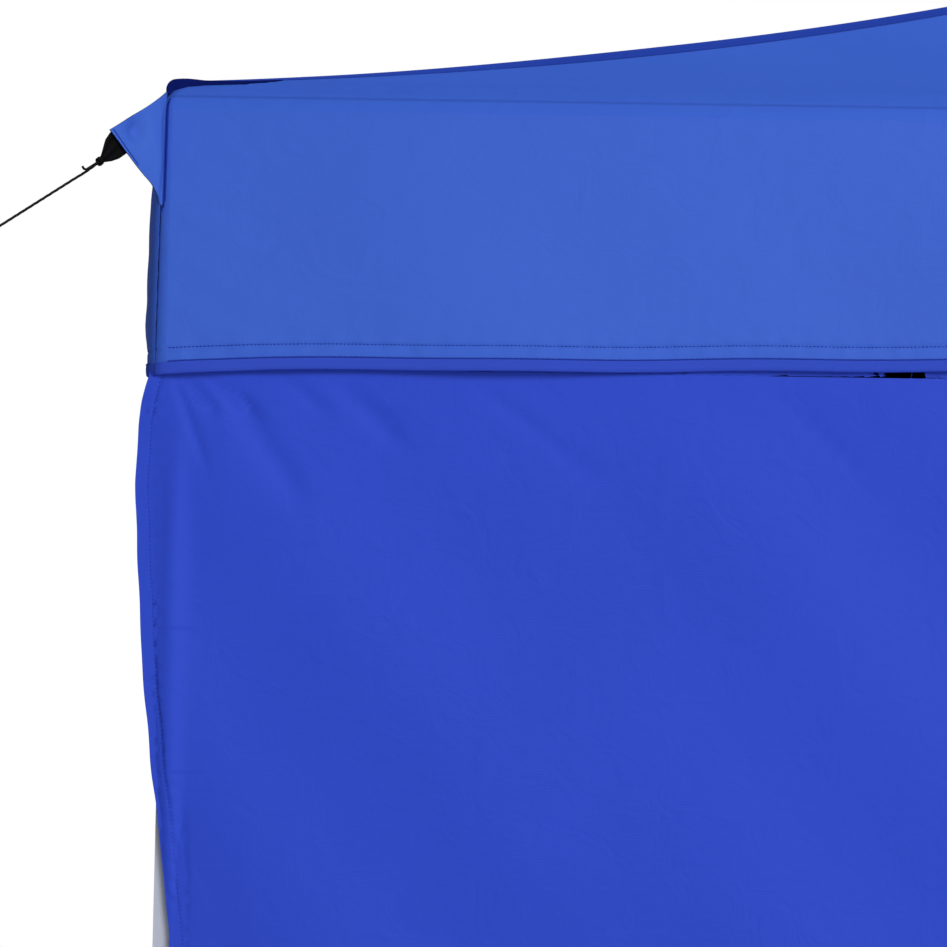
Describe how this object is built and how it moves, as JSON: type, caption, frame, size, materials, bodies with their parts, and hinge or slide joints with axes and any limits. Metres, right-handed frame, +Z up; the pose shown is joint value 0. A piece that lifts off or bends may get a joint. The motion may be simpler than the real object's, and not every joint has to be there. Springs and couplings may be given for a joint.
{
  "type": "pop-up canopy",
  "caption": "Square pop-up canopy: folding scissor frame on four telescopic legs, pyramid fabric roof with a deep valance, one hung sidewall and a corner guy rope.",
  "frame": {"origin": "on the ground at the centre of the four legs", "axes": "+Z up; the side with the sidewall faces -Y, and its left leg as seen from outside is at -X"},
  "size_m": [3.3068, 3.3068, 2.595],
  "materials": {
    "frame_steel": "pale grey powder coat on steel tube",
    "moulded_nylon": "black moulded nylon",
    "zinc_steel": "zinc-plated steel",
    "roof_cloth": "coated woven polyester, mid blue",
    "wall_cloth": "coated woven polyester, royal blue",
    "black_cord": "braided black polyester rope"
  },
  "bodies": {
    "root": {"peak_hub": "moulded_nylon", "peak_mast": "frame_steel", "mast_cap": "moulded_nylon", "roof_canopy": "roof_cloth", "sidewall": "wall_cloth", "corner_flaps": "roof_cloth", "guy_rope": "black_cord"},
    "front_hub_rising_bar": {"front_hub_rising_bar": "frame_steel"},
    "front_hub_falling_bar": {"front_hub_falling_bar": "frame_steel"},
    "front_upper_joint": {"front_upper_joint": "moulded_nylon"},
    "front_lower_joint": {"front_lower_joint": "moulded_nylon"},
    "lower_hub": {"lower_hub": "moulded_nylon"},
    "front_falling_bar_left": {"front_falling_bar_left": "frame_steel"},
    "front_rising_bar_left": {"front_rising_bar_left": "frame_steel"},
    "front_falling_bar_right": {"front_falling_bar_right": "frame_steel"},
    "front_rising_bar_right": {"front_rising_bar_right": "frame_steel"},
    "right_hub_rising_bar": {"right_hub_rising_bar": "frame_steel"},
    "right_hub_falling_bar": {"right_hub_falling_bar": "frame_steel"},
    "right_upper_joint": {"right_upper_joint": "moulded_nylon"},
    "right_lower_joint": {"right_lower_joint": "moulded_nylon"},
    "right_falling_bar_front": {"right_falling_bar_front": "frame_steel"},
    "right_rising_bar_front": {"right_rising_bar_front": "frame_steel"},
    "right_falling_bar_back": {"right_falling_bar_back": "frame_steel"},
    "right_rising_bar_back": {"right_rising_bar_back": "frame_steel"},
    "back_hub_rising_bar": {"back_hub_rising_bar": "frame_steel"},
    "back_hub_falling_bar": {"back_hub_falling_bar": "frame_steel"},
    "back_upper_joint": {"back_upper_joint": "moulded_nylon"},
    "back_lower_joint": {"back_lower_joint": "moulded_nylon"},
    "back_falling_bar_right": {"back_falling_bar_right": "frame_steel"},
    "back_rising_bar_right": {"back_rising_bar_right": "frame_steel"},
    "back_falling_bar_left": {"back_falling_bar_left": "frame_steel"},
    "back_rising_bar_left": {"back_rising_bar_left": "frame_steel"},
    "left_hub_rising_bar": {"left_hub_rising_bar": "frame_steel"},
    "left_hub_falling_bar": {"left_hub_falling_bar": "frame_steel"},
    "left_upper_joint": {"left_upper_joint": "moulded_nylon"},
    "left_lower_joint": {"left_lower_joint": "moulded_nylon"},
    "left_falling_bar_back": {"left_falling_bar_back": "frame_steel"},
    "left_rising_bar_back": {"left_rising_bar_back": "frame_steel"},
    "left_falling_bar_front": {"left_falling_bar_front": "frame_steel"},
    "left_rising_bar_front": {"left_rising_bar_front": "frame_steel"},
    "front_left_leg": {"front_left_leg": "frame_steel"},
    "front_left_slider": {"front_left_slider": "moulded_nylon"},
    "front_right_leg": {"front_right_leg": "frame_steel"},
    "front_right_slider": {"front_right_slider": "moulded_nylon"},
    "back_right_leg": {"back_right_leg": "frame_steel"},
    "back_right_slider": {"back_right_slider": "moulded_nylon"},
    "back_left_leg": {"back_left_leg": "frame_steel"},
    "back_left_slider": {"back_left_slider": "moulded_nylon"},
    "front_left_inner_leg": {"front_left_inner_leg": "frame_steel"},
    "front_left_slider_button": {"front_left_slider_button": "zinc_steel"},
    "front_left_leg_pin": {"front_left_leg_pin": "zinc_steel"},
    "front_right_inner_leg": {"front_right_inner_leg": "frame_steel"},
    "front_right_slider_button": {"front_right_slider_button": "zinc_steel"},
    "front_right_leg_pin": {"front_right_leg_pin": "zinc_steel"},
    "back_right_inner_leg": {"back_right_inner_leg": "frame_steel"},
    "back_right_slider_button": {"back_right_slider_button": "zinc_steel"},
    "back_right_leg_pin": {"back_right_leg_pin": "zinc_steel"},
    "back_left_inner_leg": {"back_left_inner_leg": "frame_steel"},
    "back_left_slider_button": {"back_left_slider_button": "zinc_steel"},
    "back_left_leg_pin": {"back_left_leg_pin": "zinc_steel"}
  },
  "joints": [
    {"name": "frame_fold", "type": "hinge", "parent": "root", "child": "front_hub_rising_bar", "pos_m": [0, -0.04, 2], "axis": [1, 0, 0], "range_deg": [0, 65]},
    {"name": "front_hub_bars_cross", "type": "hinge", "parent": "front_hub_rising_bar", "child": "front_hub_falling_bar", "pos_m": [0, -0.746, 1.78415], "axis": [1, 0, 0], "range_deg": [-130, 0]},
    {"name": "front_upper_joint_turn", "type": "hinge", "parent": "front_hub_falling_bar", "child": "front_upper_joint", "pos_m": [0, -1.452, 2], "axis": [1, 0, 0], "range_deg": [0, 65]},
    {"name": "front_lower_joint_turn", "type": "hinge", "parent": "front_hub_rising_bar", "child": "front_lower_joint", "pos_m": [0, -1.452, 1.56831], "axis": [1, 0, 0], "range_deg": [-65, 0]},
    {"name": "lower_hub_turn", "type": "hinge", "parent": "front_hub_falling_bar", "child": "lower_hub", "pos_m": [0, -0.04, 1.56831], "axis": [1, 0, 0], "range_deg": [0, 65]},
    {"name": "front_falling_bar_left_turn", "type": "hinge", "parent": "front_upper_joint", "child": "front_falling_bar_left", "pos_m": [-0.035, -1.487, 2], "axis": [0, -1, 0], "range_deg": [0, 65]},
    {"name": "front_left_bars_cross", "type": "hinge", "parent": "front_falling_bar_left", "child": "front_rising_bar_left", "pos_m": [-0.741, -1.487, 1.78415], "axis": [0, -1, 0], "range_deg": [-130, 0]},
    {"name": "front_falling_bar_right_turn", "type": "hinge", "parent": "front_upper_joint", "child": "front_falling_bar_right", "pos_m": [0.035, -1.487, 2], "axis": [0, 1, 0], "range_deg": [0, 65]},
    {"name": "front_right_bars_cross", "type": "hinge", "parent": "front_falling_bar_right", "child": "front_rising_bar_right", "pos_m": [0.741, -1.487, 1.78415], "axis": [0, 1, 0], "range_deg": [-130, 0]},
    {"name": "right_hub_rising_bar_turn", "type": "hinge", "parent": "root", "child": "right_hub_rising_bar", "pos_m": [0.04, 0, 2], "axis": [0, 1, 0], "range_deg": [0, 65]},
    {"name": "right_hub_bars_cross", "type": "hinge", "parent": "right_hub_rising_bar", "child": "right_hub_falling_bar", "pos_m": [0.746, 0, 1.78415], "axis": [0, 1, 0], "range_deg": [-130, 0]},
    {"name": "right_upper_joint_turn", "type": "hinge", "parent": "right_hub_falling_bar", "child": "right_upper_joint", "pos_m": [1.452, 0, 2], "axis": [0, 1, 0], "range_deg": [0, 65]},
    {"name": "right_lower_joint_turn", "type": "hinge", "parent": "right_hub_rising_bar", "child": "right_lower_joint", "pos_m": [1.452, 0, 1.56831], "axis": [0, 1, 0], "range_deg": [-65, 0]},
    {"name": "right_falling_bar_front_turn", "type": "hinge", "parent": "right_upper_joint", "child": "right_falling_bar_front", "pos_m": [1.487, -0.035, 2], "axis": [1, 0, 0], "range_deg": [0, 65]},
    {"name": "right_front_bars_cross", "type": "hinge", "parent": "right_falling_bar_front", "child": "right_rising_bar_front", "pos_m": [1.487, -0.741, 1.78415], "axis": [1, 0, 0], "range_deg": [-130, 0]},
    {"name": "right_falling_bar_back_turn", "type": "hinge", "parent": "right_upper_joint", "child": "right_falling_bar_back", "pos_m": [1.487, 0.035, 2], "axis": [-1, 0, 0], "range_deg": [0, 65]},
    {"name": "right_back_bars_cross", "type": "hinge", "parent": "right_falling_bar_back", "child": "right_rising_bar_back", "pos_m": [1.487, 0.741, 1.78415], "axis": [-1, 0, 0], "range_deg": [-130, 0]},
    {"name": "back_hub_rising_bar_turn", "type": "hinge", "parent": "root", "child": "back_hub_rising_bar", "pos_m": [0, 0.04, 2], "axis": [-1, 0, 0], "range_deg": [0, 65]},
    {"name": "back_hub_bars_cross", "type": "hinge", "parent": "back_hub_rising_bar", "child": "back_hub_falling_bar", "pos_m": [0, 0.746, 1.78415], "axis": [-1, 0, 0], "range_deg": [-130, 0]},
    {"name": "back_upper_joint_turn", "type": "hinge", "parent": "back_hub_falling_bar", "child": "back_upper_joint", "pos_m": [0, 1.452, 2], "axis": [-1, 0, 0], "range_deg": [0, 65]},
    {"name": "back_lower_joint_turn", "type": "hinge", "parent": "back_hub_rising_bar", "child": "back_lower_joint", "pos_m": [0, 1.452, 1.56831], "axis": [-1, 0, 0], "range_deg": [-65, 0]},
    {"name": "back_falling_bar_right_turn", "type": "hinge", "parent": "back_upper_joint", "child": "back_falling_bar_right", "pos_m": [0.035, 1.487, 2], "axis": [0, 1, 0], "range_deg": [0, 65]},
    {"name": "back_right_bars_cross", "type": "hinge", "parent": "back_falling_bar_right", "child": "back_rising_bar_right", "pos_m": [0.741, 1.487, 1.78415], "axis": [0, 1, 0], "range_deg": [-130, 0]},
    {"name": "back_falling_bar_left_turn", "type": "hinge", "parent": "back_upper_joint", "child": "back_falling_bar_left", "pos_m": [-0.035, 1.487, 2], "axis": [0, -1, 0], "range_deg": [0, 65]},
    {"name": "back_left_bars_cross", "type": "hinge", "parent": "back_falling_bar_left", "child": "back_rising_bar_left", "pos_m": [-0.741, 1.487, 1.78415], "axis": [0, -1, 0], "range_deg": [-130, 0]},
    {"name": "left_hub_rising_bar_turn", "type": "hinge", "parent": "root", "child": "left_hub_rising_bar", "pos_m": [-0.04, 0, 2], "axis": [0, -1, 0], "range_deg": [0, 65]},
    {"name": "left_hub_bars_cross", "type": "hinge", "parent": "left_hub_rising_bar", "child": "left_hub_falling_bar", "pos_m": [-0.746, 0, 1.78415], "axis": [0, -1, 0], "range_deg": [-130, 0]},
    {"name": "left_upper_joint_turn", "type": "hinge", "parent": "left_hub_falling_bar", "child": "left_upper_joint", "pos_m": [-1.452, 0, 2], "axis": [0, -1, 0], "range_deg": [0, 65]},
    {"name": "left_lower_joint_turn", "type": "hinge", "parent": "left_hub_rising_bar", "child": "left_lower_joint", "pos_m": [-1.452, 0, 1.56831], "axis": [0, -1, 0], "range_deg": [-65, 0]},
    {"name": "left_falling_bar_back_turn", "type": "hinge", "parent": "left_upper_joint", "child": "left_falling_bar_back", "pos_m": [-1.487, 0.035, 2], "axis": [-1, 0, 0], "range_deg": [0, 65]},
    {"name": "left_back_bars_cross", "type": "hinge", "parent": "left_falling_bar_back", "child": "left_rising_bar_back", "pos_m": [-1.487, 0.741, 1.78415], "axis": [-1, 0, 0], "range_deg": [-130, 0]},
    {"name": "left_falling_bar_front_turn", "type": "hinge", "parent": "left_upper_joint", "child": "left_falling_bar_front", "pos_m": [-1.487, -0.035, 2], "axis": [1, 0, 0], "range_deg": [0, 65]},
    {"name": "left_front_bars_cross", "type": "hinge", "parent": "left_falling_bar_front", "child": "left_rising_bar_front", "pos_m": [-1.487, -0.741, 1.78415], "axis": [1, 0, 0], "range_deg": [-130, 0]},
    {"name": "front_left_leg_turn", "type": "hinge", "parent": "front_rising_bar_left", "child": "front_left_leg", "pos_m": [-1.447, -1.487, 2], "axis": [0, -1, 0], "range_deg": [0, 65]},
    {"name": "front_left_slider_turn", "type": "hinge", "parent": "front_falling_bar_left", "child": "front_left_slider", "pos_m": [-1.447, -1.487, 1.56831], "axis": [0, -1, 0], "range_deg": [-65, 0]},
    {"name": "front_right_leg_turn", "type": "hinge", "parent": "front_rising_bar_right", "child": "front_right_leg", "pos_m": [1.447, -1.487, 2], "axis": [0, 1, 0], "range_deg": [0, 65]},
    {"name": "front_right_slider_turn", "type": "hinge", "parent": "front_falling_bar_right", "child": "front_right_slider", "pos_m": [1.447, -1.487, 1.56831], "axis": [0, 1, 0], "range_deg": [-65, 0]},
    {"name": "back_right_leg_turn", "type": "hinge", "parent": "back_rising_bar_right", "child": "back_right_leg", "pos_m": [1.447, 1.487, 2], "axis": [0, 1, 0], "range_deg": [0, 65]},
    {"name": "back_right_slider_turn", "type": "hinge", "parent": "back_falling_bar_right", "child": "back_right_slider", "pos_m": [1.447, 1.487, 1.56831], "axis": [0, 1, 0], "range_deg": [-65, 0]},
    {"name": "back_left_leg_turn", "type": "hinge", "parent": "back_rising_bar_left", "child": "back_left_leg", "pos_m": [-1.447, 1.487, 2], "axis": [0, -1, 0], "range_deg": [0, 65]},
    {"name": "back_left_slider_turn", "type": "hinge", "parent": "back_falling_bar_left", "child": "back_left_slider", "pos_m": [-1.447, 1.487, 1.56831], "axis": [0, -1, 0], "range_deg": [-65, 0]},
    {"name": "front_left_telescope", "type": "slide", "parent": "front_left_leg", "child": "front_left_inner_leg", "axis": [0, 0, 1], "range_m": [0, 0.42]},
    {"name": "front_left_button_press", "type": "slide", "parent": "front_left_leg", "child": "front_left_slider_button", "axis": [1, 0, 0], "range_m": [0, 0.0065], "stiffness_N_per_m": 1200, "springref_m": -0.002},
    {"name": "front_left_pin_pull", "type": "slide", "parent": "front_left_leg", "child": "front_left_leg_pin", "axis": [-1, 0, 0], "range_m": [0, 0.008], "stiffness_N_per_m": 1200, "springref_m": -0.002},
    {"name": "front_right_telescope", "type": "slide", "parent": "front_right_leg", "child": "front_right_inner_leg", "axis": [0, 0, 1], "range_m": [0, 0.42]},
    {"name": "front_right_button_press", "type": "slide", "parent": "front_right_leg", "child": "front_right_slider_button", "axis": [-1, 0, 0], "range_m": [0, 0.0065], "stiffness_N_per_m": 1200, "springref_m": -0.002},
    {"name": "front_right_pin_pull", "type": "slide", "parent": "front_right_leg", "child": "front_right_leg_pin", "axis": [1, 0, 0], "range_m": [0, 0.008], "stiffness_N_per_m": 1200, "springref_m": -0.002},
    {"name": "back_right_telescope", "type": "slide", "parent": "back_right_leg", "child": "back_right_inner_leg", "axis": [0, 0, 1], "range_m": [0, 0.42]},
    {"name": "back_right_button_press", "type": "slide", "parent": "back_right_leg", "child": "back_right_slider_button", "axis": [-1, 0, 0], "range_m": [0, 0.0065], "stiffness_N_per_m": 1200, "springref_m": -0.002},
    {"name": "back_right_pin_pull", "type": "slide", "parent": "back_right_leg", "child": "back_right_leg_pin", "axis": [1, 0, 0], "range_m": [0, 0.008], "stiffness_N_per_m": 1200, "springref_m": -0.002},
    {"name": "back_left_telescope", "type": "slide", "parent": "back_left_leg", "child": "back_left_inner_leg", "axis": [0, 0, 1], "range_m": [0, 0.42]},
    {"name": "back_left_button_press", "type": "slide", "parent": "back_left_leg", "child": "back_left_slider_button", "axis": [1, 0, 0], "range_m": [0, 0.0065], "stiffness_N_per_m": 1200, "springref_m": -0.002},
    {"name": "back_left_pin_pull", "type": "slide", "parent": "back_left_leg", "child": "back_left_leg_pin", "axis": [-1, 0, 0], "range_m": [0, 0.008], "stiffness_N_per_m": 1200, "springref_m": -0.002}
  ],
  "couplings": [
    {"joint": "front_hub_bars_cross", "follows": "frame_fold", "ratio": -2},
    {"joint": "front_upper_joint_turn", "follows": "frame_fold", "ratio": 1},
    {"joint": "front_lower_joint_turn", "follows": "frame_fold", "ratio": -1},
    {"joint": "lower_hub_turn", "follows": "frame_fold", "ratio": 1},
    {"joint": "front_falling_bar_left_turn", "follows": "frame_fold", "ratio": 1},
    {"joint": "front_left_bars_cross", "follows": "frame_fold", "ratio": -2},
    {"joint": "front_falling_bar_right_turn", "follows": "frame_fold", "ratio": 1},
    {"joint": "front_right_bars_cross", "follows": "frame_fold", "ratio": -2},
    {"joint": "right_hub_rising_bar_turn", "follows": "frame_fold", "ratio": 1},
    {"joint": "right_hub_bars_cross", "follows": "frame_fold", "ratio": -2},
    {"joint": "right_upper_joint_turn", "follows": "frame_fold", "ratio": 1},
    {"joint": "right_lower_joint_turn", "follows": "frame_fold", "ratio": -1},
    {"joint": "right_falling_bar_front_turn", "follows": "frame_fold", "ratio": 1},
    {"joint": "right_front_bars_cross", "follows": "frame_fold", "ratio": -2},
    {"joint": "right_falling_bar_back_turn", "follows": "frame_fold", "ratio": 1},
    {"joint": "right_back_bars_cross", "follows": "frame_fold", "ratio": -2},
    {"joint": "back_hub_rising_bar_turn", "follows": "frame_fold", "ratio": 1},
    {"joint": "back_hub_bars_cross", "follows": "frame_fold", "ratio": -2},
    {"joint": "back_upper_joint_turn", "follows": "frame_fold", "ratio": 1},
    {"joint": "back_lower_joint_turn", "follows": "frame_fold", "ratio": -1},
    {"joint": "back_falling_bar_right_turn", "follows": "frame_fold", "ratio": 1},
    {"joint": "back_right_bars_cross", "follows": "frame_fold", "ratio": -2},
    {"joint": "back_falling_bar_left_turn", "follows": "frame_fold", "ratio": 1},
    {"joint": "back_left_bars_cross", "follows": "frame_fold", "ratio": -2},
    {"joint": "left_hub_rising_bar_turn", "follows": "frame_fold", "ratio": 1},
    {"joint": "left_hub_bars_cross", "follows": "frame_fold", "ratio": -2},
    {"joint": "left_upper_joint_turn", "follows": "frame_fold", "ratio": 1},
    {"joint": "left_lower_joint_turn", "follows": "frame_fold", "ratio": -1},
    {"joint": "left_falling_bar_back_turn", "follows": "frame_fold", "ratio": 1},
    {"joint": "left_back_bars_cross", "follows": "frame_fold", "ratio": -2},
    {"joint": "left_falling_bar_front_turn", "follows": "frame_fold", "ratio": 1},
    {"joint": "left_front_bars_cross", "follows": "frame_fold", "ratio": -2},
    {"joint": "front_left_leg_turn", "follows": "frame_fold", "ratio": 1},
    {"joint": "front_left_slider_turn", "follows": "frame_fold", "ratio": -1},
    {"joint": "front_right_leg_turn", "follows": "frame_fold", "ratio": 1},
    {"joint": "front_right_slider_turn", "follows": "frame_fold", "ratio": -1},
    {"joint": "back_right_leg_turn", "follows": "frame_fold", "ratio": 1},
    {"joint": "back_right_slider_turn", "follows": "frame_fold", "ratio": -1},
    {"joint": "back_left_leg_turn", "follows": "frame_fold", "ratio": 1},
    {"joint": "back_left_slider_turn", "follows": "frame_fold", "ratio": -1}
  ]
}
